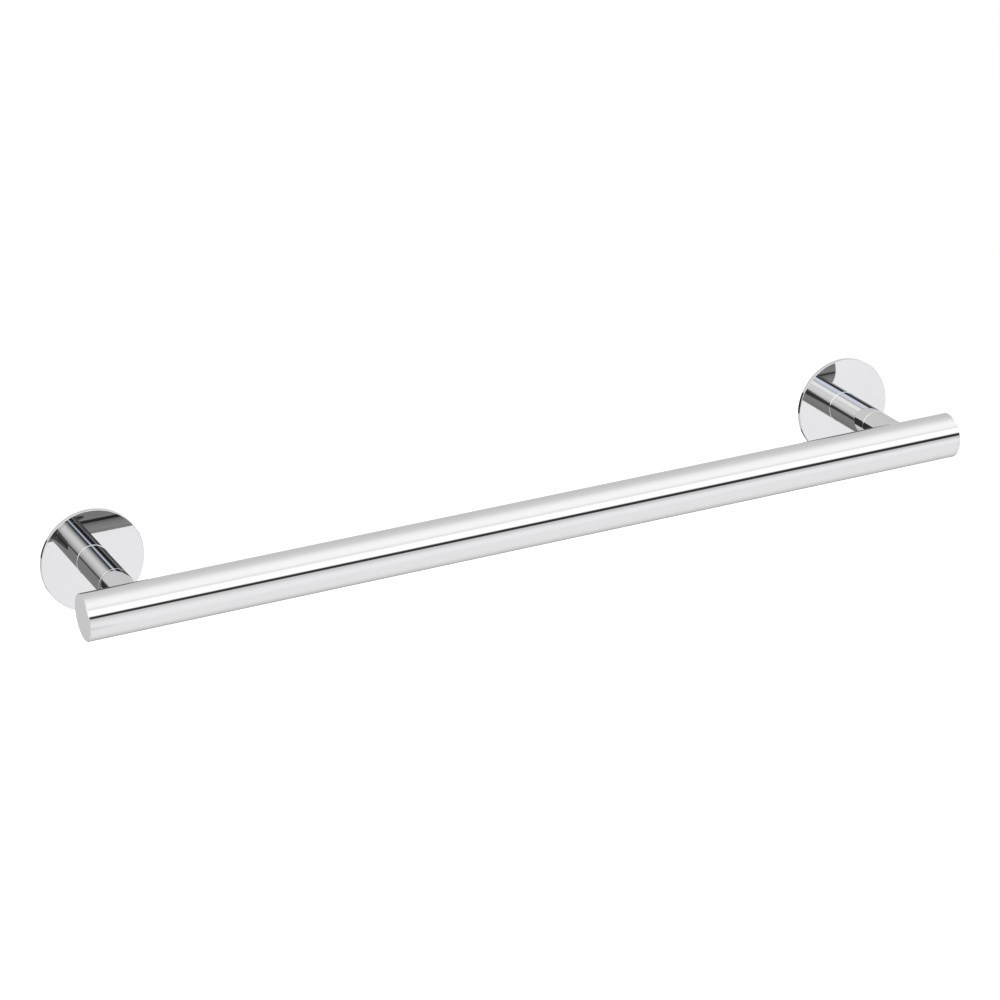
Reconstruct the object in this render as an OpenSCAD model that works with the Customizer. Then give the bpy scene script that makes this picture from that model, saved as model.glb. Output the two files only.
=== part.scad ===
// Wall-mounted towel bar: a round bar across the front of two round posts, each on a thin round flange.
// The wall is the plane y = 0, the bar runs along x, z is up and the room is on the side of negative y.
// The origin lies on the wall, midway between the centres of the two flanges.

/* [Bar] */
// Distance between the centre lines of the two posts
post_spacing = 457.2; // [300:0.1:762]
// Length of bar that stands out past each post's centre line
bar_overhang = 28.4; // [26:0.1:60]
// Outer diameter of the bar
bar_d = 25.4; // [22:0.1:30]
// Wall thickness of the bar's tube
bar_wall = 1.5; // [1:0.1:2.5]
// Distance from the wall to the bar's centre line
bar_reach = 73.6; // [70:0.1:90]
// Thickness of an end cap outside the tube
cap_thickness = 2; // [1:0.1:4]
// Depth of an end cap's spigot inside the tube
cap_spigot = 6; // [3:0.5:12]
// Chamfer round the outer face of an end cap
cap_edge = 0.5; // [0.2:0.1:0.9]

/* [Flange] */
// Diameter of the flange on the wall
flange_d = 57.5; // [54:0.5:80]
// Height of the flange's face above the wall
flange_height = 2.3; // [2.1:0.1:4]
// Thickness of the flange's metal
flange_wall = 0.7; // [0.4:0.1:0.8]
// Radius of the rounded edge between the flange's rim and its face
flange_edge = 0.35; // [0.2:0.05:1]
// Height and width of the bevelled lip that seats the post on the flange
seat_lip = 0.25; // [0.1:0.05:0.6]

/* [Post] */
// Diameter of the post and of the saddle in front of it
post_d = 17.8; // [17:0.1:22]
// Diameter of the post's bore, which slides over the hub
post_bore_d = 13.8; // [13:0.1:14.5]
// Distance from the wall to the seam between post and saddle
seam_reach = 40; // [38:0.5:48]
// Thickness of the solid web at the front of the post
web = 9.4; // [6:0.1:11]
// Chamfer on the edges that meet at the seam
seam_edge = 0.3; // [0.1:0.05:0.8]

/* [Wall plate and hub] */
// Diameter of the steel plate that is screwed to the wall
plate_d = 50; // [46:1:52]
// Vertical distance between the plate's two screw holes
hole_spacing = 34; // [28:0.5:36]
// Diameter of a screw hole
hole_d = 4.5; // [3.5:0.1:5]
// Depth of a screw hole's countersink
countersink = 1; // [0.4:0.1:1.1]
// Length of each levelling slot, end to end
slot_length = 10; // [6:0.5:14]
// Gap all round between the post's bore and the hub that carries it
hub_play = 0.1; // [0.05:0.05:0.4]
// Distance from the wall to the hub's front
hub_reach = 19; // [14:0.5:21]
// Diameter of the hub's staked spigot in the plate
spigot_d = 8; // [6:0.5:10]

/* [Screws] */
// Distance from the wall to the set screw under the post
set_screw_reach = 8.6; // [7:0.1:10]
// Thread diameter of the set screw
set_screw_d = 4; // [3:0.5:5]
// Length of the set screw
set_screw_length = 4; // [3.5:0.5:5]
// Depth of the set screw below the post's skin
set_screw_sunk = 0.3; // [0:0.05:0.6]
// Thread diameter of the screw that joins post, saddle and bar
joint_screw_d = 6; // [5:0.5:6]
// Length of the joint screw under its head
joint_screw_length = 45; // [42:0.5:48]
// Thickness of the spring washer under the joint screw's head
washer_thickness = 1.6; // [1:0.1:2]
// Length of the threaded insert inside the bar
insert_length = 20; // [14:1:26]

/* [Hidden] */
$fn = 96;

// Small distances shared by the fits
fit_play = 0.05;
plate_play = 0.1;
slip_play = 0.2;
beyond = 1;

// Outlines that follow from the driving sizes
bar_length = post_spacing + 2 * bar_overhang;
bar_r = bar_d / 2;
bore_r = bar_r - bar_wall;
tube_length = bar_length - 2 * cap_thickness;
cap_wall = 1.5;
flange_r = flange_d / 2;
plate_thickness = flange_height - flange_wall - plate_play;
post_r = post_d / 2;
post_foot = flange_height + seat_lip;
bore_end = seam_reach - web;
hub_r = post_bore_d / 2 - hub_play;
hub_edge = 0.6;
stake_flare = 1;
bar_back = bar_reach - bar_r;

// Set screw: its cone bears on the front flank of the hub's groove and draws the post to the wall
set_r = set_screw_d / 2;
set_outer = post_r - set_screw_sunk;
set_tip = set_outer - set_screw_length;
groove_shift = 0.2;
groove_r = set_tip - groove_shift;
groove_reach = set_screw_reach - groove_shift;
set_key = 2;
set_key_depth = 1.6;

// Joint screw: socket head in the post's bore, thread in the insert
joint_r = joint_screw_d / 2;
joint_hole_r = joint_r + slip_play;
head_r = 5;
head_height = 6;
head_edge = 0.4;
head_seat = bore_end - washer_thickness;
head_key = 5;
head_key_depth = 3;
joint_tip = head_seat + joint_screw_length;
tip_edge = 0.6;
washer_r = 5.9;
washer_slit = 0.9;
washer_slant = 20;
insert_r = bore_r - fit_play;
insert_edge = 0.8;
tap_depth = 2;

left = -1;
right = 1;

// Places a shape drawn with z as its distance from the wall, and y up, on one of the two posts
module on_wall(side) {
    translate([side * post_spacing / 2, 0, 0]) rotate([90, 0, 0]) children();
}

// Turns a shape drawn along z so that it lies along the bar, centred on the bar's centre line
module along_bar(x) {
    translate([x, -bar_reach, 0]) rotate([0, 90, 0]) children();
}

// A straight round solid from one distance to another
module round_bar(r, from, to) {
    translate([0, 0, from]) cylinder(r = r, h = to - from);
}

// A cone from radius r0 at one distance to radius r1 at another
module cone(r0, r1, from, to) {
    translate([0, 0, from]) cylinder(r1 = r0, r2 = r1, h = to - from);
}

// A hexagon socket cut into the face at z = 0, going up
module hexagon_socket(across_flats, depth) {
    translate([0, 0, -beyond]) cylinder(d = across_flats / cos(30), h = depth + beyond, $fn = 6);
}

// Bar: a drawn tube with a clearance hole in its back at each post
module bar() {
    color("gainsboro") difference() {
        along_bar(-tube_length / 2) difference() {
            cylinder(r = bar_r, h = tube_length);
            translate([0, 0, -beyond]) cylinder(r = bore_r, h = tube_length + 2 * beyond);
        }
        for (side = [left, right])
            on_wall(side) round_bar(joint_hole_r, bar_back - beyond, bar_reach);
    }
}

// End cap: a turned cup pressed into the tube, its face as wide as the bar
module end_cap(side) {
    color("gainsboro") along_bar(side * tube_length / 2) mirror([0, 0, side == left ? 1 : 0]) {
        difference() {
            union() {
                round_bar(bar_r, 0, cap_thickness - cap_edge);
                cone(bar_r, bar_r - cap_edge, cap_thickness - cap_edge, cap_thickness);
                round_bar(bore_r - fit_play, -cap_spigot + cap_edge, 0);
                cone(bore_r - fit_play - cap_edge, bore_r - fit_play, -cap_spigot, -cap_spigot + cap_edge);
            }
            round_bar(bore_r - fit_play - cap_wall, -cap_spigot - beyond, 0);
        }
    }
}

// One of the wall plate's screw holes, countersunk from the front
module screw_hole() {
    round_bar(hole_d / 2, -beyond, plate_thickness + beyond);
    cone(hole_d / 2, hole_d / 2 + countersink + beyond, plate_thickness - countersink, plate_thickness + beyond);
}

// A slot with round ends, upright, through the wall plate
module levelling_slot() {
    straight = slot_length - hole_d;
    for (end = [-1, 1]) translate([0, end * straight / 2, 0])
        round_bar(hole_d / 2, -beyond, plate_thickness + beyond);
    translate([-hole_d / 2, -straight / 2, -beyond]) cube([hole_d, straight, plate_thickness + 2 * beyond]);
}

// Wall plate: a stamped disc with two screw holes above each other and a slot on either side
module wall_plate(side) {
    color("silver") on_wall(side) difference() {
        round_bar(plate_d / 2, 0, plate_thickness);
        for (end = [-1, 1]) translate([0, end * hole_spacing / 2, 0]) screw_hole();
        for (end = [-1, 1]) translate([end * hole_spacing / 2, 0, 0]) levelling_slot();
        round_bar(spigot_d / 2, -beyond, plate_thickness + beyond);
        cone(spigot_d / 2 + stake_flare, spigot_d / 2, 0, stake_flare);
    }
}

// Hub: a turned stub staked into the wall plate, with a V-groove for the set screw
module hub(side) {
    color("darkgray") on_wall(side) difference() {
        union() {
            cone(spigot_d / 2 + stake_flare, spigot_d / 2, 0, stake_flare);
            round_bar(spigot_d / 2, 0, plate_thickness);
            round_bar(hub_r, plate_thickness, hub_reach - hub_edge);
            cone(hub_r, hub_r - hub_edge, hub_reach - hub_edge, hub_reach);
        }
        rotate_extrude() translate([groove_r, groove_reach])
            polygon([[0, 0], [hub_r, -hub_r], [hub_r, hub_r]]);
    }
}

// Flange: a shallow turned cup over the wall plate, with a bevelled lip round the hub's hole
module flange(side) {
    rim_r = flange_r - flange_edge;
    color("gainsboro") on_wall(side) difference() {
        rotate_extrude() {
            square([flange_r, flange_height - flange_edge]);
            square([rim_r, flange_height]);
            translate([rim_r, flange_height - flange_edge]) intersection() {
                circle(r = flange_edge);
                square(flange_edge);
            }
            polygon([[0, 0], [post_r + seat_lip, 0], [post_r + seat_lip, flange_height],
                [post_r, post_foot], [0, post_foot]]);
        }
        round_bar(flange_r - flange_wall, -beyond, flange_height - flange_wall);
        round_bar(hub_r + slip_play, -beyond, post_foot + beyond);
    }
}

// Post: bored from the wall end to slide over the hub, with a web at the front for the joint screw
module post(side) {
    entry = seam_edge * 2;
    color("gainsboro") on_wall(side) difference() {
        union() {
            round_bar(post_r, post_foot, seam_reach - seam_edge);
            cone(post_r, post_r - seam_edge, seam_reach - seam_edge, seam_reach);
        }
        round_bar(post_bore_d / 2, post_foot - beyond, bore_end);
        cone(post_bore_d / 2 + entry, post_bore_d / 2, post_foot, post_foot + entry);
        round_bar(joint_hole_r, bore_end - beyond, seam_reach + beyond);
        translate([0, 0, set_screw_reach]) rotate([90, 0, 0])
            round_bar(set_r + fit_play, 0, post_r + beyond);
    }
}

// Set screw: a headless screw with a cone point, turned by a key from below
module set_screw(side) {
    color("dimgray") on_wall(side) translate([0, 0, set_screw_reach]) rotate([90, 0, 0]) difference() {
        union() {
            cone(0, set_r, set_tip, set_tip + set_r);
            round_bar(set_r, set_tip + set_r, set_outer);
        }
        translate([0, 0, set_outer]) mirror([0, 0, 1]) hexagon_socket(set_key, set_key_depth);
    }
}

// Saddle: the front of the post, coped to sit on the back of the bar
module saddle(side) {
    color("gainsboro") difference() {
        on_wall(side) difference() {
            union() {
                cone(post_r - seam_edge / 2, post_r, seam_reach, seam_reach + seam_edge / 2);
                round_bar(post_r, seam_reach + seam_edge / 2, bar_reach);
            }
            round_bar(joint_hole_r, seam_reach - beyond, bar_reach);
        }
        along_bar(-bar_length / 2) cylinder(r = bar_r, h = bar_length);
    }
}

// Lock washer: a split spring ring, pressed flat under the joint screw's head
module lock_washer(side) {
    color("dimgray") on_wall(side) difference() {
        round_bar(washer_r, head_seat, bore_end);
        round_bar(joint_r + fit_play, head_seat - beyond, bore_end + beyond);
        translate([0, washer_r, (head_seat + bore_end) / 2]) rotate([0, washer_slant, 0])
            cube([washer_slit, 2 * washer_r, 4 * washer_thickness], center = true);
    }
}

// Joint screw: a socket-head screw through the post's web and the saddle into the bar's insert
module joint_screw(side) {
    head_top = head_seat - head_height;
    color("dimgray") on_wall(side) difference() {
        union() {
            cone(head_r - head_edge, head_r, head_top, head_top + head_edge);
            round_bar(head_r, head_top + head_edge, head_seat);
            round_bar(joint_r, head_seat, joint_tip - tip_edge);
            cone(joint_r, joint_r - tip_edge, joint_tip - tip_edge, joint_tip);
        }
        translate([0, 0, head_top]) hexagon_socket(head_key, head_key_depth);
    }
}

// Bar insert: a plug inside the tube with a tapped cross hole, drawn against the tube's back
module bar_insert(side) {
    half = insert_length / 2;
    color("goldenrod") difference() {
        translate([0, fit_play, 0]) along_bar(side * post_spacing / 2) {
            cone(insert_r - insert_edge, insert_r, -half, insert_edge - half);
            round_bar(insert_r, insert_edge - half, half - insert_edge);
            cone(insert_r, insert_r - insert_edge, half - insert_edge, half);
        }
        on_wall(side) round_bar(joint_r + fit_play, bar_back, joint_tip + tap_depth);
    }
}

bar();
end_cap(left);  // left_end_cap
end_cap(right);  // right_end_cap
wall_plate(left);  // left_wall_plate
hub(left);  // left_hub
flange(left);  // left_flange
post(left);  // left_post
set_screw(left);  // left_set_screw
saddle(left);  // left_saddle
lock_washer(left);  // left_lock_washer
joint_screw(left);  // left_joint_screw
bar_insert(left);  // left_bar_insert
wall_plate(right);  // right_wall_plate
hub(right);  // right_hub
flange(right);  // right_flange
post(right);  // right_post
set_screw(right);  // right_set_screw
saddle(right);  // right_saddle
lock_washer(right);  // right_lock_washer
joint_screw(right);  // right_joint_screw
bar_insert(right);  // right_bar_insert
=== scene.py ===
# A wall-mounted towel bar in polished chrome: one round bar on two round posts with thin round flanges.
# Metres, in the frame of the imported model: the wall is the plane y = 0, the bar runs along x and z is up.
from collections import Counter
from math import atan2, cos, hypot, log, pi, radians
import bpy
from mathutils import Matrix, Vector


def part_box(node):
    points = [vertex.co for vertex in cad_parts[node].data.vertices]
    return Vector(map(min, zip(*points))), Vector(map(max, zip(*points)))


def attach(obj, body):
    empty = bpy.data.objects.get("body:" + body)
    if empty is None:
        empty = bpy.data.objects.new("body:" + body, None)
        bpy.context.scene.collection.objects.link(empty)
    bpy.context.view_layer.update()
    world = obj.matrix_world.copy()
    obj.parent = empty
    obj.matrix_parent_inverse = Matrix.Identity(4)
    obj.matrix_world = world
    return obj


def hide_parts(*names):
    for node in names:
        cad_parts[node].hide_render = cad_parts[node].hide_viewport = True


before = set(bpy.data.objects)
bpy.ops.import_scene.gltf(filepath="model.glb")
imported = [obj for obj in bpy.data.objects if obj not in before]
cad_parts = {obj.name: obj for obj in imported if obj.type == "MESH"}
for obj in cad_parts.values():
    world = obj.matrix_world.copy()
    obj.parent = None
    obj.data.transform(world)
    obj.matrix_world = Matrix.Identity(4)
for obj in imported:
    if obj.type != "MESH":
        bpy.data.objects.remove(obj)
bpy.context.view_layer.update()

# Camera: a long lens, to the left of the bar and above it, turned a little about its own line of sight. Its
# angles are in radians: to the right, downwards and about that line. Its lens and film are in millimetres.
camera_place = (-0.6733, -1.6098, 0.6728)
camera_yaw = 0.4012
camera_pitch = 0.3745
camera_roll = -0.0512
camera_lens = 120.5
camera_film = 36
aim = Matrix.Rotation(-camera_yaw, 4, "Z") @ Matrix.Rotation(pi / 2 - camera_pitch, 4, "X")
aim = aim @ Matrix.Rotation(camera_roll, 4, "Z")
bpy.ops.object.camera_add(location=camera_place, rotation=aim.to_euler())
camera = bpy.context.object
camera.data.sensor_width = camera_film
camera.data.lens = camera_lens
bpy.context.scene.camera = camera
bpy.context.scene.view_settings.view_transform = "Standard"

# Studio: a white room with soft boxes in front of the bar, black flags between them and a pale floor. It is
# drawn by direction, in degrees. Azimuth is 0 in front of the wall, 90 to the right and -180 behind the wall.
# Turn is the angle about the bar's own axis, 0 in front, 90 above and 180 behind.
full_circle = 360


def grey(level):
    """An opaque grey, from 0 for black to 1 for white, and more for a light."""
    return (level, level, level, 1)


# The level of the room's walls, by turn.
room_turns = [(-180, 1.05), (-160, 1.12), (-148, 1.0), (-138, 0.76), (-130, 0.78), (-126, 0.83),
              (-120, 0.96), (-114, 1.1), (-102, 1.16), (-90, 1.3), (-78, 1.37), (-45, 1.38), (-18, 1.36),
              (-6, 1.27), (0, 1.18), (24, 1.4), (30, 1.9), (44, 1.9), (48, 1.67), (52, 1.42), (56, 1.42),
              (61, 1.62), (68, 1.67), (82, 1.66), (97, 1.50), (115, 1.18), (136, 1.05), (160, 1.04),
              (180, 1.05)]
room_top = 2
# Each panel: azimuth from and to, elevation from and to where its slope starts, softness of the sides,
# softness of the top and bottom, rise of its elevations for each degree to the right, and colour. The walls
# and screens fade from one reflection in the metal to the next, and the lamps and flags don't.
screens = {
    "front_glow": (4, 48, -30, -8, 28, 18, 0.9, (1.46, 1.465, 1.51, 1)),
    "front_floor_left": (-95, 3, -90, 3, 8, 4, 0, grey(1.10)),
    "front_floor_shade": (-4, 8, -45, -18, 4, 8, 0, grey(0.97)),
    "low_screen": (0, 95, -1, 14, 10, 6, 0, grey(1.05)),
}
lamps = {
    "left_skirting": (-31, -12, 0.3, 4.3, 4, 3, 0, grey(0.05)),
    "right_skirting": (-70, -31, -8, -3.2, 4, 1.5, 0, grey(0)),
    "upright_flag": (-12, 60, 8, 30, 6, 4, 0, grey(0.07)),
    "left_soft_box": (-52, 0.3, 26.8, 76, 28, 20.6, 0.32, grey(2.03)),
    "high_wall": (-16, 16, 31, 50, 6, 4, 0, grey(1.5)),
    "high_light": (-17, 2.5, 31, 46, 9, 4, 0, grey(2.56)),
    "gap_flag": (6.5, 20, 18, 30.5, 4, 3, 0, grey(0.12)),
    "level_flag": (8, 80, 8.2, 20.6, 4, 2, 0, grey(0.05)),
    "right_soft_box": (12.8, 80, 19.9, 40, 3, 6.4, 0.06, grey(1.9)),
    "left_rear_flag": (-154, -110, -18, 10, 2, 2, 0, grey(0.05)),
    "left_rear_flag_end": (-167, -151, -12.5, 5.5, 2, 2, 0, grey(0.05)),
    "rear_gap_left": (-184, -176, -28, -24, 2, 2, 0, grey(0.06)),
    "rear_gap_right": (-186, -176, -36, -31, 2, 2, 0, grey(0.06)),
    "right_rear_flag": (-222, -203, -37, -26, 4, 3, 0, grey(0.06)),
    "right_rear_flag_end": (-204, -184, -40, -21, 4, 3, 0, grey(0.06)),
}
slope_start = 23
azimuth_start = -265
# In light that has already met the metal once, the right soft box starts a little higher and sharper and is
# bluer towards its foot, and the left part of the floor is brighter and reaches further.
later_fading = 0.55
later_box_lift = 0.6
later_box_sharper = 2
later_box_foot = (1.52, 1.68, 2.22, 1)
later_box_top = (1.95, 2.07, 2.4, 1)
later_box_blend = (20, 27)
later_floor_reach = 24
later_floor = grey(1.17)
most_bounces = 2
one_or_more = (0.2, 0.8)
world_white = grey(0.95)
background = grey(1)


class Wire:
    """An output of a node tree. Arithmetic on it adds Math nodes, and add() adds any other node."""

    def __init__(self, tree, socket=None):
        self.tree, self.socket = tree, socket

    def add(self, kind, settings=None, inputs=None, out=0):
        """Adds a node, sets it up, then fills its sockets with values or wires and returns one output."""
        node = self.tree.nodes.new(kind)
        for name, value in (settings or {}).items():
            if name == "stops":
                self.set_stops(node.color_ramp, value)
            else:
                setattr(node, name, value)
        for name, value in (inputs or {}).items():
            if isinstance(value, Wire):
                self.tree.links.new(value.socket, node.inputs[name])
            else:
                node.inputs[name].default_value = value
        return Wire(self.tree, node.outputs[out]) if node.outputs else None

    @staticmethod
    def set_stops(ramp, stops):
        """Gives a colour ramp its stops, as a list of place and grey level."""
        while len(ramp.elements) < len(stops):
            ramp.elements.new(0.5)
        for element, (place, level) in zip(ramp.elements, stops):
            element.position = place
            element.color = grey(level)

    def math(self, operation, *values):
        """A Math node with this wire as its first value."""
        return self.add("ShaderNodeMath", {"operation": operation}, dict(enumerate((self, *values))))

    def __add__(self, other):
        return self.math("ADD", other)

    __radd__ = __add__

    def __mul__(self, other):
        return self.math("MULTIPLY", other)

    __rmul__ = __mul__

    def __sub__(self, other):
        return self.math("SUBTRACT", other)

    def __rsub__(self, other):
        return self.math("MULTIPLY", -1).math("ADD", other)

    def smooth(self, start, end):
        """Goes softly from 0 where the value is start to 1 where it is end."""
        return self.add("ShaderNodeMapRange", {"interpolation_type": "SMOOTHSTEP"},
                        {"Value": self, "From Min": start, "From Max": end})

    def tint(self, low, high):
        """A colour that goes from low to high as the value goes from 0 to 1."""
        return self.add("ShaderNodeMix", {"data_type": "RGBA"}, {0: self, 6: low, 7: high}, out=2)

    def split(self):
        """The x, y and z of a vector."""
        outputs = self.add("ShaderNodeSeparateXYZ", None, {0: self}).socket.node.outputs
        return [Wire(self.tree, output) for output in outputs]


def band(value, low, high, softness):
    """1 where the value is between low and high, with soft ends."""
    half = softness * 0.5
    return value.smooth(low - half, low + half) * value.smooth(high + half, high - half)


def studio(wire, direction):
    """The light that comes to the bar from a direction, a unit vector."""
    x, y, z = direction.split()
    degrees = 180 / pi
    azimuth = (x.math("ARCTAN2", y * -1) * degrees).math("WRAP", azimuth_start, azimuth_start + full_circle)
    elevation = z.math("ARCSINE") * degrees
    turn = z.math("ARCTAN2", y * -1) * degrees
    bounces = (wire.add("ShaderNodeLightPath", out="Glossy Depth") - 1).math("MINIMUM", most_bounces)
    later = bounces.smooth(*one_or_more)
    fading = (bounces.math("MAXIMUM", 0) * log(later_fading)).math("EXPONENT")

    def hang(light, panels):
        """Hangs panels in front of a light."""
        for name, (left, right, low, high, side_soft, soft, rise, colour) in panels.items():
            level = elevation - (azimuth - slope_start) * rise if rise else elevation
            if name == "right_soft_box":
                low = low + later * later_box_lift
                soft = soft - later * later_box_sharper
                box = elevation.smooth(*later_box_blend).tint(later_box_foot, later_box_top)
                colour = later.tint(colour, box)
            if name == "front_floor_left":
                right = right + later * later_floor_reach
                colour = later.tint(colour, later_floor)
            light = (band(level, low, high, soft) * band(azimuth, left, right, side_soft)).tint(light, colour)
        return light

    def scaled(light, factor):
        """A light with all its colours multiplied by a factor."""
        return light.add("ShaderNodeVectorMath", {"operation": "SCALE"}, {0: light, "Scale": factor})

    stops = [(angle / full_circle + 0.5, level / room_top) for angle, level in room_turns]
    share = turn * (1 / full_circle) + 0.5
    walls = scaled(wire.add("ShaderNodeValToRGB", {"stops": stops}, {0: share}), room_top)
    return hang(scaled(hang(walls, screens), fading), lamps)


def seen_by(wire, *kinds):
    """1 for the kinds of ray that are named."""
    outputs = wire.add("ShaderNodeLightPath").socket.node.outputs
    found = Wire(wire.tree, outputs[kinds[0]])
    for kind in kinds[1:]:
        found = found.math("MAXIMUM", Wire(wire.tree, outputs[kind]))
    return found


world = bpy.data.worlds.new("studio")
world.use_nodes = True
bpy.context.scene.world = world
world.node_tree.nodes.clear()
sky = Wire(world.node_tree)
mirrored = seen_by(sky, "Is Glossy Ray", "Is Transmission Ray")
shown = mirrored.tint(world_white, studio(sky, sky.add("ShaderNodeTexCoord")))
shown = seen_by(sky, "Is Camera Ray").tint(shown, background)
sky.add("ShaderNodeOutputWorld", None, {"Surface": sky.add("ShaderNodeBackground", None, {"Color": shown})})

# Floor: a plain pale floor far below the bar, as under a bar fixed to a wall. It takes the bar's shadow, and
# it can't be seen from below, so that it doesn't hide the bar's underside.
floor_drop = 1.2
floor_size = 6
floor_grey = grey(0.8)
floor_lift = 0.5
bpy.ops.object.select_all(action="DESELECT")
bpy.ops.mesh.primitive_plane_add(size=floor_size, location=(0, 0, -floor_drop))
floor = bpy.context.object
floor.name = "studio_floor"
bpy.ops.object.transform_apply()
floor_paint = bpy.data.materials.new("pale_floor")
floor_paint.use_nodes = True
floor_paint.node_tree.nodes.clear()
paint = Wire(floor_paint.node_tree)
from_bar = paint.add("ShaderNodeTexCoord", out="Object")
way = paint.add("ShaderNodeVectorMath", {"operation": "NORMALIZE"}, {0: from_bar})
matt = paint.add("ShaderNodeBsdfDiffuse", None, {"Color": floor_grey})
lift = paint.add("ShaderNodeEmission", None, {"Strength": seen_by(paint, "Is Camera Ray") * floor_lift})
lit = paint.add("ShaderNodeAddShader", None, {0: matt, 1: lift})
glow = paint.add("ShaderNodeEmission", None, {"Color": studio(paint, way)})
mirrored = seen_by(paint, "Is Glossy Ray", "Is Transmission Ray")
finish = paint.add("ShaderNodeMixShader", None, {0: mirrored, 1: lit, 2: glow})
below = paint.add("ShaderNodeNewGeometry", out="Backfacing")
clear = paint.add("ShaderNodeBsdfTransparent")
finish = paint.add("ShaderNodeMixShader", None, {0: below, 1: finish, 2: clear})
paint.add("ShaderNodeOutputMaterial", None, {"Surface": finish})
floor.data.materials.append(floor_paint)

# Bar: a drawn brass tube, ground, polished and plated with bright chrome over nickel. The plating doesn't
# reach far into the tube, so its inside and the two holes in its back show the bare, drawn brass.
bar_low, bar_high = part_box("bar")
bar_radius = (bar_high.z - bar_low.z) / 2
bar_reach = -(bar_high.y + bar_low.y) / 2
bar_wall = 0.0015
post_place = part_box("right_post")[1].x / 2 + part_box("right_post")[0].x / 2
hairline = 0.0001
chrome_colour = grey(0.55)
chrome_edge_colour = grey(0.77)
chrome_roughness = 0.022
chrome_haze = 0.01
bare_dark = (0.56, 0.40, 0.19, 1)
bare_light = (0.70, 0.54, 0.30, 1)
bare_roughness = 0.22
drawn_roughness = 0.2
along_bar = (0.02, 1, 1)


def start_material(name):
    """A new material with an empty node tree, and a wire to build in it."""
    material = bpy.data.materials.new(name)
    material.use_nodes = True
    material.node_tree.nodes.clear()
    return material, Wire(material.node_tree)


def metal(wire, **sockets):
    """Ends a material with a metal surface. The names of the sockets have _ for each space."""
    values = {name.replace("_", " "): value for name, value in sockets.items()}
    shader = wire.add("ShaderNodeBsdfPrincipled", None, {"Metallic": 1.0, **values})
    wire.add("ShaderNodeOutputMaterial", None, {"Surface": shader})


def noise(wire, scale, detail=2.0, stretch=(1, 1, 1)):
    """Noise from 0 to 1 over the object, stretched along its axes."""
    here = wire.add("ShaderNodeTexCoord", out="Object")
    where = wire.add("ShaderNodeMapping", None, {"Vector": here, "Scale": stretch})
    return wire.add("ShaderNodeTexNoise", None, {"Vector": where, "Scale": scale, "Detail": detail})


def length(first, second):
    """The length of a line with these two sides."""
    return (first * first + second * second).math("SQRT")


def about_bar(wire):
    """The place along the bar and the distance from its axis."""
    x, y, z = wire.add("ShaderNodeTexCoord", out="Object").split()
    return x, length(y + bar_reach, z)


def about_post(wire):
    """The distances from the nearer post's axis, sideways, upwards and straight, and from the wall."""
    x, y, z = wire.add("ShaderNodeTexCoord", out="Object").split()
    across = x.math("ABSOLUTE") - post_place
    return across, z, length(across, z), y * -1


def near(value, limit):
    """1 where the value is less than the limit, with an edge of a tenth of a millimetre."""
    return value.smooth(limit + hairline / 2, limit - hairline / 2)


def chrome_plate(name, bare):
    """Polished chrome, apart from the bare brass that the function bare gives as a mask."""
    material, wire = start_material(name)
    brass = bare(wire)
    haze = noise(wire, scale=60, detail=3).smooth(start=0.3, end=0.8)
    polish = haze * chrome_haze + chrome_roughness
    drawn = noise(wire, scale=900, stretch=along_bar)
    metal(wire, Base_Color=brass.tint(chrome_colour, drawn.tint(bare_dark, bare_light)),
          Roughness=polish + brass * (drawn * drawn_roughness + bare_roughness),
          Specular_Tint=chrome_edge_colour)
    return material


def paint_node(node, material):
    """Gives a solid of the frame a material in each of its slots."""
    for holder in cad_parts[node].material_slots:
        holder.material = material


def bar_bare(wire):
    """1 inside the tube and its holes."""
    return near(about_bar(wire)[1], bar_radius - bar_wall / 2)


paint_node("bar", chrome_plate("bar_chrome", bar_bare))

# End caps: turned brass caps, polished and plated with the bar. Each is pressed into the tube up to its
# shoulder, so only the outer face, its small chamfer and a ring as wide as the bar stay in view.
tube_end = bar_high.x


def cap_bare(wire):
    """1 on the part of a cap that sits in the tube."""
    return near(about_bar(wire)[0].math("ABSOLUTE"), tube_end)


cap_chrome = chrome_plate("end_cap_chrome", cap_bare)
for side in ("left", "right"):
    paint_node(side + "_end_cap", cap_chrome)

# Bar inserts: short lengths of brass rod inside the tube, drawn against its back by the joint screws. They
# are cut off on a lathe, their ends are chamfered, and a cross hole is drilled and tapped M6.
insert_ease = 0.00015
tap_radius = 0.0032
tap_pitch = 0.001
same_point = 1e-6
flat_angle = radians(0.2)
eased_angle = radians(35)
insert_ring = 0.00018
insert_clean = (0.78, 0.60, 0.31, 1)
insert_dulled = (0.62, 0.43, 0.20, 1)
insert_roughness = 0.2
dulled_roughness = 0.16
ring_relief = 0.2
drawn_relief = 0.4
thread_relief = 3


def select_only(piece):
    """Makes a piece the only one that is selected, and the active one."""
    bpy.ops.object.select_all(action="DESELECT")
    piece.select_set(True)
    bpy.context.view_layer.objects.active = piece


def apply_modifier(piece, kind, **settings):
    """Adds a modifier to a piece, sets it up and applies it."""
    select_only(piece)
    modifier = piece.modifiers.new(kind.lower(), kind)
    for name, value in settings.items():
        setattr(modifier, name, value)
    bpy.ops.object.modifier_apply(modifier=modifier.name)


def smooth(piece, angle=30):
    """Shades a piece smoothly, apart from its edges sharper than an angle in degrees."""
    select_only(piece)
    bpy.ops.object.shade_smooth_by_angle(angle=radians(angle))


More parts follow.
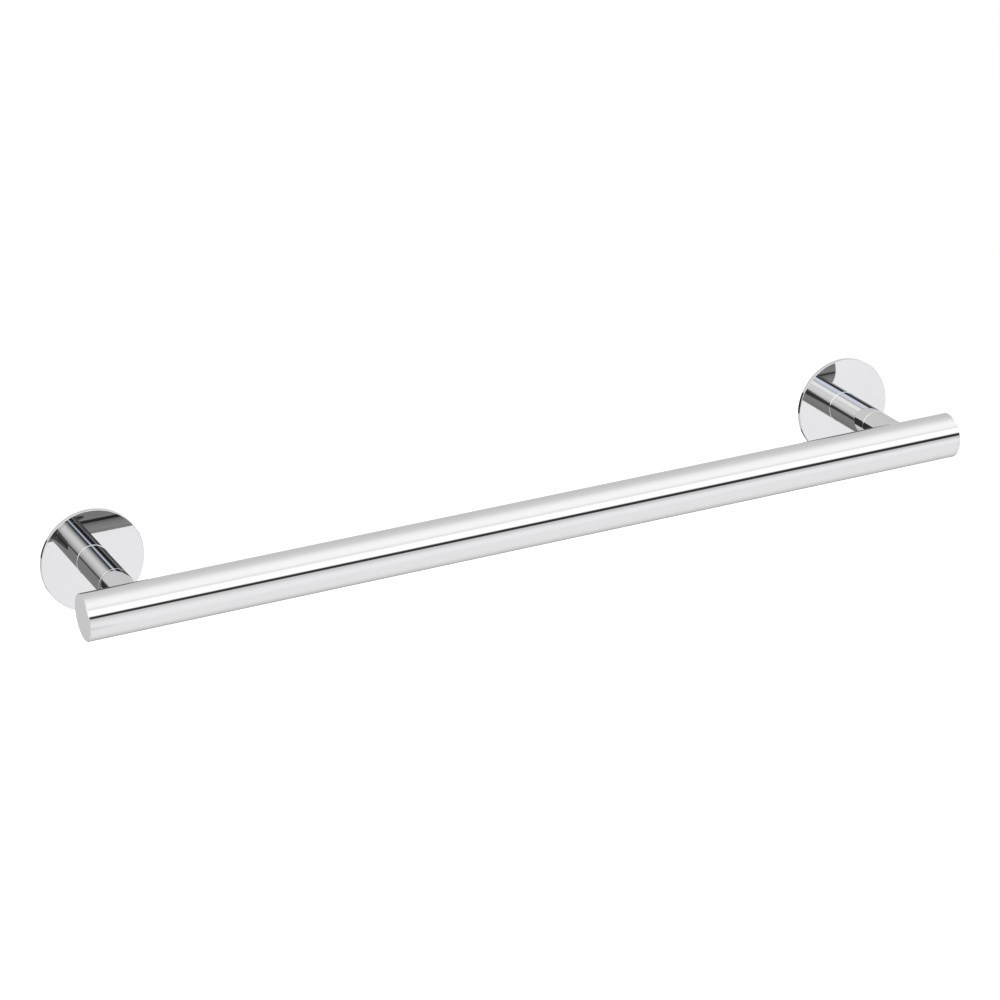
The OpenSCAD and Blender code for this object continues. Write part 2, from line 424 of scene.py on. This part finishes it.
def eased_copy(node, name, ease, rounds=2):
    """A copy of a solid as a new piece, with its triangles joined and its sharp edges eased."""
    piece = bpy.data.objects.new(name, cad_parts[node].data.copy())
    bpy.context.collection.objects.link(piece)
    piece.data.materials.clear()
    select_only(piece)
    bpy.ops.object.mode_set(mode="EDIT")
    bpy.ops.mesh.select_all(action="SELECT")
    bpy.ops.mesh.remove_doubles(threshold=same_point)
    bpy.ops.mesh.dissolve_limited(angle_limit=flat_angle)
    bpy.ops.object.mode_set(mode="OBJECT")
    apply_modifier(piece, "BEVEL", width=ease, segments=rounds, limit_method="ANGLE", angle_limit=eased_angle,
                   use_clamp_overlap=True, miter_outer="MITER_ARC")
    smooth(piece)
    apply_modifier(piece, "WEIGHTED_NORMAL", keep_sharp=True, weight=100)
    return piece


def fit(piece, node, material):
    """Puts a finished piece in the place of its solid."""
    piece.data.materials.clear()
    piece.data.materials.append(material)
    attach(piece, "root")
    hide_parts(node)


def waves(value, pitch):
    """Fine ridges, from -1 to 1, one for each pitch of a distance."""
    return (value * (2 * pi / pitch)).math("SINE")


def relief(wire, height, strength, distance):
    """A normal that follows a height."""
    return wire.add("ShaderNodeBump", None, {"Strength": strength, "Distance": distance, "Height": height})


def turned_brass():
    """Brass from the lathe: rings on the ends, drawn lines along the rod and a thread in the tapped hole."""
    material, wire = start_material("turned_brass")
    across, up, out_from_post, reach = about_post(wire)
    place, out_from_bar = about_bar(wire)
    rings = waves(out_from_bar, insert_ring)
    drawn = noise(wire, scale=2500, stretch=along_bar) - 0.5
    threads = waves(reach * (1 / tap_pitch) - up.math("ARCTAN2", across) * (1 / (2 * pi)), pitch=1)
    tapped = near(out_from_post, tap_radius)
    dulled = noise(wire, scale=180, detail=4).smooth(start=0.35, end=0.75)
    height = rings * ring_relief + drawn * drawn_relief + threads * tapped * thread_relief
    metal(wire, Base_Color=dulled.tint(insert_clean, insert_dulled),
          Roughness=dulled * dulled_roughness + insert_roughness,
          Normal=relief(wire, height, strength=0.35, distance=0.00006))
    return material


brass = turned_brass()
for side in ("left", "right"):
    insert = eased_copy(side + "_bar_insert", side + "_insert_plug", insert_ease)
    fit(insert, side + "_bar_insert", brass)

# Wall plates: discs stamped from 1.5 mm steel strip and zinc plated. The press rounds one edge of each cut
# and tears the other, and the holes and slots take the wall screws, whose heads sit in the countersinks.
plate_ease = 0.00018
plate_radius = (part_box("left_wall_plate")[1].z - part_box("left_wall_plate")[0].z) / 2
torn_edge = 0.0003
along_strip = (0.03, 1, 1)
zinc_dark = (0.52, 0.54, 0.57, 1)
zinc_light = (0.64, 0.65, 0.66, 1)
zinc_roughness = 0.3
zinc_cloud_roughness = 0.14
torn_roughness = 0.2
strip_roughness = 0.1
strip_relief = 0.6
torn_relief = 2
flat_relief = 0.3


def zinc_plate():
    """Clear-passivated zinc over rolled strip: a faint grain one way, cloudy patches and duller cut edges."""
    material, wire = start_material("zinc_plate")
    out_from_post = about_post(wire)[2]
    grain = noise(wire, scale=1400, detail=3, stretch=along_strip) - 0.5
    clouds = noise(wire, scale=130, detail=4).smooth(start=0.3, end=0.7)
    torn = out_from_post.smooth(plate_radius - torn_edge, plate_radius - hairline)
    speckle = noise(wire, scale=5000, detail=1) - 0.5
    height = grain * strip_relief + speckle * (torn * torn_relief + flat_relief)
    bumps = relief(wire, height, strength=0.25, distance=0.00005)
    roughness = clouds * zinc_cloud_roughness + torn * torn_roughness + grain * strip_roughness
    metal(wire, Base_Color=clouds.tint(zinc_dark, zinc_light),
          Roughness=roughness + zinc_roughness, Normal=bumps)
    return material


zinc = zinc_plate()
for side in ("left", "right"):
    plate = eased_copy(side + "_wall_plate", side + "_stamped_plate", plate_ease)
    fit(plate, side + "_wall_plate", zinc)

# Hubs: steel studs turned on a lathe. The thin end goes through the wall plate and is staked over behind it,
# and the set screw's point draws on the front flank of the groove. The front has a centre hole and a chamfer.
hub_low, hub_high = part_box("left_hub")
hub_reach = -hub_low.y
hub_radius = (hub_high.z - hub_low.z) / 2
hub_shoulder = -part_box("left_wall_plate")[0].y
hub_chamfer = 0.0006
spigot_radius = 0.004
stake_flare = 0.001
stake_dimple = 0.0003
groove_reach = 0.0084
groove_bottom = 0.0044
groove_flat = 0.00005
centre_radius = 0.0012
centre_depth = 0.0014
centre_point = centre_depth * 1.6
side_ring = 0.00016
face_ring = 0.0002
steel_clean = (0.56, 0.56, 0.57, 1)
steel_oiled = (0.46, 0.45, 0.43, 1)
steel_roughness = 0.3
oil_gloss = -0.08
ring_roughness = 0.03


def turned(name, outline, sides=96):
    """A solid turned about the z axis, closed at both ends. Its outline is a list of heights and radii."""
    height, radius = outline[0]
    bpy.ops.object.select_all(action="DESELECT")
    bpy.ops.mesh.primitive_circle_add(vertices=sides, radius=radius, fill_type="NGON",
                                      location=(0, 0, height))
    piece = bpy.context.object
    piece.name = name
    bpy.ops.object.transform_apply()
    bpy.ops.object.mode_set(mode="EDIT")
    for next_height, next_radius in outline[1:]:
        bpy.ops.mesh.extrude_region_move(TRANSFORM_OT_translate={"value": (0, 0, next_height - height)})
        ratio = next_radius / radius
        bpy.ops.transform.resize(value=(ratio, ratio, 1), center_override=(0, 0, next_height))
        height, radius = next_height, next_radius
    bpy.ops.mesh.select_all(action="SELECT")
    bpy.ops.mesh.normals_make_consistent(inside=False)
    bpy.ops.object.mode_set(mode="OBJECT")
    return piece


def put(piece, place, turn):
    """Moves a piece that was made along z to its place, turned about x by an angle, and applies both."""
    piece.location = place
    piece.rotation_euler = (turn, 0, 0)
    select_only(piece)
    bpy.ops.object.transform_apply()


def twin(piece, name):
    """A copy of a piece with its own mesh, moved from the left post to the right one."""
    copy = bpy.data.objects.new(name, piece.data.copy())
    bpy.context.collection.objects.link(copy)
    put(copy, (2 * post_place, 0, 0), 0)
    return copy


def fit_pair(piece, names, node, material):
    """Fits a piece at the left post and its twin at the right one."""
    piece.name = "left_" + names
    other = twin(piece, "right_" + names)
    fit(piece, "left_" + node, material)
    fit(other, "right_" + node, material)


def turned_steel():
    """Bright steel with the fine rings of a lathe tool round it and across its end, and a trace of oil."""
    material, wire = start_material("turned_steel")
    across, up, out_from_post, reach = about_post(wire)
    end_face = reach.smooth(hub_reach - hairline, hub_reach)
    rings = waves(reach, side_ring) * (1 - end_face) + waves(out_from_post, face_ring) * end_face
    oil = noise(wire, scale=220, detail=3).smooth(start=0.4, end=0.75)
    metal(wire, Base_Color=oil.tint(steel_clean, steel_oiled),
          Roughness=oil * oil_gloss + rings * ring_roughness + steel_roughness,
          Normal=relief(wire, rings, strength=0.3, distance=0.00003))
    return material


hub = turned("left_turned_hub", [
    (stake_dimple, hairline),
    (stake_dimple, spigot_radius / 2),
    (0, spigot_radius),
    (0, spigot_radius + stake_flare - hairline),
    (hairline, spigot_radius + stake_flare - hairline),
    (stake_flare, spigot_radius),
    (hub_shoulder, spigot_radius),
    (hub_shoulder, hub_radius - hairline),
    (hub_shoulder + hairline, hub_radius),
    (groove_reach - hub_radius + groove_bottom, hub_radius),
    (groove_reach - groove_flat, groove_bottom + groove_flat),
    (groove_reach, groove_bottom),
    (groove_reach + groove_flat, groove_bottom + groove_flat),
    (groove_reach + hub_radius - groove_bottom, hub_radius),
    (hub_reach - hub_chamfer, hub_radius),
    (hub_reach, hub_radius - hub_chamfer),
    (hub_reach, centre_radius),
    (hub_reach - centre_depth, centre_radius / 3),
    (hub_reach - centre_point, hairline / 2)])
smooth(hub)
put(hub, (-post_place, 0, 0), pi / 2)
fit_pair(hub, "turned_hub", "hub", turned_steel())

# Flanges: shallow cups spun from brass sheet over the wall plates, with a rounded rim and a fine bevelled
# lip under the post. The outside is polished and chrome plated, and the inside is bare.
flange_low, flange_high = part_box("right_flange")
flange_radius = (flange_high.z - flange_low.z) / 2
flange_face = 0.0023
flange_wall = 0.0007


def flange_bare(wire):
    """1 inside the cup."""
    out_from_post, reach = about_post(wire)[2:]
    inside = near(out_from_post, flange_radius - flange_wall + hairline)
    return inside * near(reach, flange_face - flange_wall + hairline)


flange_chrome = chrome_plate("flange_chrome", flange_bare)
for side in ("left", "right"):
    paint_node(side + "_flange", flange_chrome)

# Posts: lengths of brass rod, bored from the wall's end to slide over the hubs and drilled through the web in
# front for the joint screw. The outside is polished and plated, and the bore and the tapped hole are bare.
post_bore = 0.0069
post_seam = -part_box("right_post")[0].y
set_screw_reach = 0.0086
set_screw_hole = 0.00205
underside = -0.002


def post_bare(wire):
    """1 in the bore, in the set screw's hole and on the face at the seam."""
    across, up, out_from_post, reach = about_post(wire)
    hole = near(length(across, reach - set_screw_reach), set_screw_hole + hairline) * up.smooth(0, underside)
    bore = near(out_from_post, post_bore + hairline)
    front = reach.smooth(post_seam - hairline / 2, post_seam)
    return bore.math("MAXIMUM", hole).math("MAXIMUM", front)


post_chrome = chrome_plate("post_chrome", post_bare)
for side in ("left", "right"):
    paint_node(side + "_post", post_chrome)

# Set screws: headless M4 screws of hardened steel, 4 mm long, with a cone point at the hub and a 2 mm hexagon
# socket that a key reaches from below. The thread is rolled and the whole screw is blackened.
set_screw_radius = 0.002
set_screw_outer = 0.0086
set_screw_length = 0.004
set_screw_pitch = 0.0007
set_screw_chamfer = 0.00025
set_screw_key = 0.002
set_screw_key_depth = 0.0016
set_screw_wear = 0.9
cone_tip = 0.00005
sliver = 4e-6
black_deep = (0.035, 0.036, 0.04, 1)
black_brown = (0.07, 0.065, 0.062, 1)
worn_grey = (0.34, 0.34, 0.35, 1)
black_roughness = 0.33
blotch_roughness = 0.15
# The depth, root, flanks and crest of a metric thread, as shares of its pitch.
thread_depth = 0.6134
thread_root = 1 / 4
thread_flank = 5 / 16
thread_crest = 1 / 8
# A threaded rod is made longer than its screw, by these turns.
lead_in = 1.5
spare_rounds = 4


def threaded_rod(radius, pitch, low, high, sides=32):
    """A rod along z with a thread: one pitch of its outline is drawn, then turned and lifted as it goes."""
    depth = thread_depth * pitch
    root, flank, crest = pitch * thread_root, pitch * thread_flank, pitch * thread_crest
    start = low - lead_in * pitch
    rounds = int((high - low) / pitch) + spare_rounds
    bpy.ops.object.select_all(action="DESELECT")
    bpy.ops.mesh.primitive_plane_add(size=pitch, location=(radius - depth, 0, start))
    rod = bpy.context.object
    bpy.ops.object.transform_apply()
    bpy.ops.object.mode_set(mode="EDIT")
    bpy.ops.mesh.select_all(action="SELECT")
    bpy.ops.mesh.merge(type="CENTER")
    for outwards, upwards in ((0, root), (depth, flank), (0, crest), (-depth, flank)):
        bpy.ops.mesh.extrude_region_move(TRANSFORM_OT_translate={"value": (outwards, 0, upwards)})
    bpy.ops.object.mode_set(mode="OBJECT")
    apply_modifier(rod, "SCREW", axis="Z", angle=2 * pi, screw_offset=pitch, iterations=rounds, steps=sides,
                   render_steps=sides, use_merge_vertices=True, merge_threshold=same_point / 10)
    bpy.ops.object.mode_set(mode="EDIT")
    bpy.ops.mesh.select_all(action="SELECT")
    bpy.ops.mesh.remove_doubles(threshold=same_point)
    bpy.ops.mesh.select_mode(type="EDGE")
    bpy.ops.mesh.select_all(action="DESELECT")
    bpy.ops.mesh.select_non_manifold()
    bpy.ops.mesh.extrude_edges_move()
    bpy.ops.mesh.merge(type="COLLAPSE")
    bpy.ops.mesh.select_mode(type="VERT")
    bpy.ops.mesh.select_all(action="SELECT")
    bpy.ops.mesh.normals_make_consistent(inside=False)
    bpy.ops.object.mode_set(mode="OBJECT")
    return rod


def combine(piece, tool, operation):
    """Joins a tool to a piece, cuts it out or keeps what they share, and removes the tool."""
    apply_modifier(piece, "BOOLEAN", object=tool, operation=operation, solver="EXACT")
    bpy.data.objects.remove(tool)
    bpy.ops.object.mode_set(mode="EDIT")
    bpy.ops.mesh.select_all(action="SELECT")
    bpy.ops.mesh.remove_doubles(threshold=sliver)
    bpy.ops.mesh.dissolve_degenerate(threshold=sliver)
    bpy.ops.mesh.quads_convert_to_tris()
    clear_folds(piece)


def clear_folds(piece):
    """Deletes the pairs of triangles that lie back to back on the same three corners."""
    bpy.ops.mesh.select_mode(type="FACE")
    bpy.ops.mesh.select_all(action="DESELECT")
    bpy.ops.object.mode_set(mode="OBJECT")
    corners = Counter(frozenset(face.vertices) for face in piece.data.polygons)
    for face in piece.data.polygons:
        face.select = corners[frozenset(face.vertices)] > 1
    bpy.ops.object.mode_set(mode="EDIT")
    bpy.ops.mesh.delete(type="FACE")
    bpy.ops.mesh.select_all(action="SELECT")
    bpy.ops.mesh.delete_loose()
    bpy.ops.mesh.select_mode(type="VERT")
    bpy.ops.object.mode_set(mode="OBJECT")


def key_socket(across_flats, mouth, bottom):
    """The shape of a hexagon socket from its mouth to its bottom, with the cone that the drill left there."""
    corner = across_flats / 2 / cos(pi / 6)
    down = 1 if bottom > mouth else -1
    outside = mouth - down * across_flats / 4
    cone_end = bottom + down * across_flats / 7
    return turned("key_socket", [(outside, corner), (bottom, corner), (bottom, across_flats / 2 - hairline),
                                 (cone_end, hairline)], sides=6)


def blackened_steel(name, crests):
    """Black oxide on steel: nearly black and half matt, worn to grey where crests gives 1."""
    material, wire = start_material(name)
    worn = crests(wire) * noise(wire, scale=900, detail=3).smooth(start=0.3, end=0.8)
    blotches = noise(wire, scale=260, detail=4).smooth(start=0.3, end=0.7)
    grit = relief(wire, noise(wire, scale=9000), strength=0.15, distance=0.00002)
    black = blotches.tint(black_deep, black_brown)
    metal(wire, Base_Color=worn.tint(black, worn_grey),
          Roughness=blotches * blotch_roughness + black_roughness, Normal=grit)
    return material


def set_screw_crests(wire):
    """1 at the crests of the set screw's thread."""
    across, up, out_from_post, reach = about_post(wire)
    return length(across, reach - set_screw_reach).smooth(set_screw_radius * set_screw_wear, set_screw_radius)


set_screw_tip = set_screw_outer - set_screw_length
set_screw = threaded_rod(set_screw_radius - cone_tip, set_screw_pitch, set_screw_tip - hairline,
                         set_screw_outer + hairline)
set_screw_blank = turned("set_screw_blank", [
    (set_screw_tip, cone_tip),
    (set_screw_tip + set_screw_radius - cone_tip, set_screw_radius),
    (set_screw_outer - set_screw_chamfer, set_screw_radius),
    (set_screw_outer, set_screw_radius - set_screw_chamfer)])
combine(set_screw, set_screw_blank, "INTERSECT")
set_screw_socket = key_socket(set_screw_key, set_screw_outer, set_screw_outer - set_screw_key_depth)
combine(set_screw, set_screw_socket, "DIFFERENCE")
smooth(set_screw)
put(set_screw, (-post_place, -set_screw_reach, 0), pi)
black_set_screw = blackened_steel("black_set_screw", set_screw_crests)
fit_pair(set_screw, "threaded_set_screw", "set_screw", black_set_screw)

# Saddles: the fronts of the posts, from the same rod. The end is milled to the curve of the bar's back and
# the hole is drilled through. The outside is plated, and the milled curve and the hole are bare.
saddle_hole = 0.0032


def saddle_bare(wire):
    """1 in the hole and on the milled curve."""
    hole = near(about_post(wire)[2], saddle_hole + hairline)
    return hole.math("MAXIMUM", near(about_bar(wire)[1], bar_radius + hairline / 4))


saddle_chrome = chrome_plate("saddle_chrome", saddle_bare)
for side in ("left", "right"):
    paint_node(side + "_saddle", saddle_chrome)

# Lock washers: rings coiled from square spring-steel wire and cut off on a slant, which the screws press
# flat. The wire's edges are rounded and the hardening has left the steel brown and blue.
washer_ease = 0.00015
wire_line = 0.00022
temper_brown = (0.20, 0.15, 0.12, 1)
temper_blue = (0.13, 0.15, 0.21, 1)
temper_roughness = 0.28
patch_roughness = 0.1
line_roughness = 0.02


def spring_steel():
    """Tempered spring wire: dark grey with brown and blue patches and faint lines along the wire."""
    material, wire = start_material("tempered_spring_steel")
    out_from_post = about_post(wire)[2]
    patches = noise(wire, scale=320).smooth(start=0.35, end=0.65)
    lines = waves(out_from_post, wire_line)
    metal(wire, Base_Color=patches.tint(temper_brown, temper_blue),
          Roughness=patches * patch_roughness + lines * line_roughness + temper_roughness,
          Normal=relief(wire, lines, strength=0.2, distance=0.00002))
    return material


tempered = spring_steel()
for side in ("left", "right"):
    washer = eased_copy(side + "_lock_washer", side + "_split_washer", washer_ease)
    fit(washer, side + "_lock_washer", tempered)

# Joint screws: M6 socket-head screws, 45 mm long, with a knurled head and a rolled thread on the last 24 mm.
# They come from the post's bore through the web, the saddle and the tube's back, and pull on the inserts.
joint_low, joint_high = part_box("left_joint_screw")
joint_tip = -joint_low.y
joint_head = -joint_high.y
joint_head_radius = (joint_high.z - joint_low.z) / 2
joint_radius = 0.003
joint_head_height = 0.006
joint_seat = joint_head + joint_head_height
joint_edge = 0.0004
joint_thread_length = 0.024
joint_thread_start = joint_tip - joint_thread_length
joint_pitch = 0.001
joint_key = 0.005
joint_key_depth = 0.003
joint_wear = 0.92
tip_chamfer = 0.0006
knurls = 60
knurl_depth = 0.02
knurl_margin = 1.5 * joint_edge


def joint_screw_crests(wire):
    """1 at the crests of the joint screw's thread and of its knurl."""
    out_from_post, reach = about_post(wire)[2:]
    threaded = reach.smooth(joint_thread_start, joint_thread_start + joint_edge)
    head = out_from_post.smooth(joint_head_radius * (1 - knurl_depth), joint_head_radius)
    return out_from_post.smooth(joint_radius * joint_wear, joint_radius) * threaded + head


joint_screw = turned("left_knurled_joint_screw", [
    (joint_head, joint_key / 2),
    (joint_head, joint_head_radius - joint_edge),
    (joint_head + joint_edge, joint_head_radius),
    (joint_head + 2 * joint_edge, joint_head_radius),
    (joint_seat - 2 * joint_edge, joint_head_radius),
    (joint_seat - joint_edge / 2, joint_head_radius),
    (joint_seat, joint_head_radius - joint_edge / 2),
    (joint_seat, joint_radius),
    (joint_thread_start, joint_radius),
    (joint_thread_start + joint_edge, joint_radius - joint_edge)], sides=2 * knurls)
bpy.ops.object.mode_set(mode="EDIT")
bpy.ops.mesh.select_mode(type="VERT")
bpy.ops.mesh.select_all(action="DESELECT")
bpy.ops.object.mode_set(mode="OBJECT")
for vertex in joint_screw.data.vertices:
    x, y, z = vertex.co
    step = round((atan2(y, x) / (2 * pi)) * 2 * knurls)
    knurled = joint_head + knurl_margin < z < joint_seat - knurl_margin
    vertex.select = knurled and step % 2 == 1 and hypot(x, y) > joint_head_radius - hairline
bpy.ops.object.mode_set(mode="EDIT")
bpy.ops.transform.resize(value=(1 - knurl_depth, 1 - knurl_depth, 1), center_override=(0, 0, 0))
bpy.ops.object.mode_set(mode="OBJECT")
thread = threaded_rod(joint_radius - cone_tip, joint_pitch, joint_thread_start - joint_edge, joint_tip)
thread_blank = turned("thread_blank", [
    (joint_thread_start - 2 * joint_edge, joint_radius + hairline),
    (joint_tip - tip_chamfer - hairline, joint_radius + hairline),
    (joint_tip, joint_radius - tip_chamfer)])
combine(thread, thread_blank, "INTERSECT")
combine(joint_screw, thread, "UNION")
combine(joint_screw, key_socket(joint_key, joint_head, joint_head + joint_key_depth), "DIFFERENCE")
smooth(joint_screw, angle=25)
put(joint_screw, (-post_place, 0, 0), pi / 2)
black_joint_screw = blackened_steel("black_joint_screw", joint_screw_crests)
fit_pair(joint_screw, "knurled_joint_screw", "joint_screw", black_joint_screw)
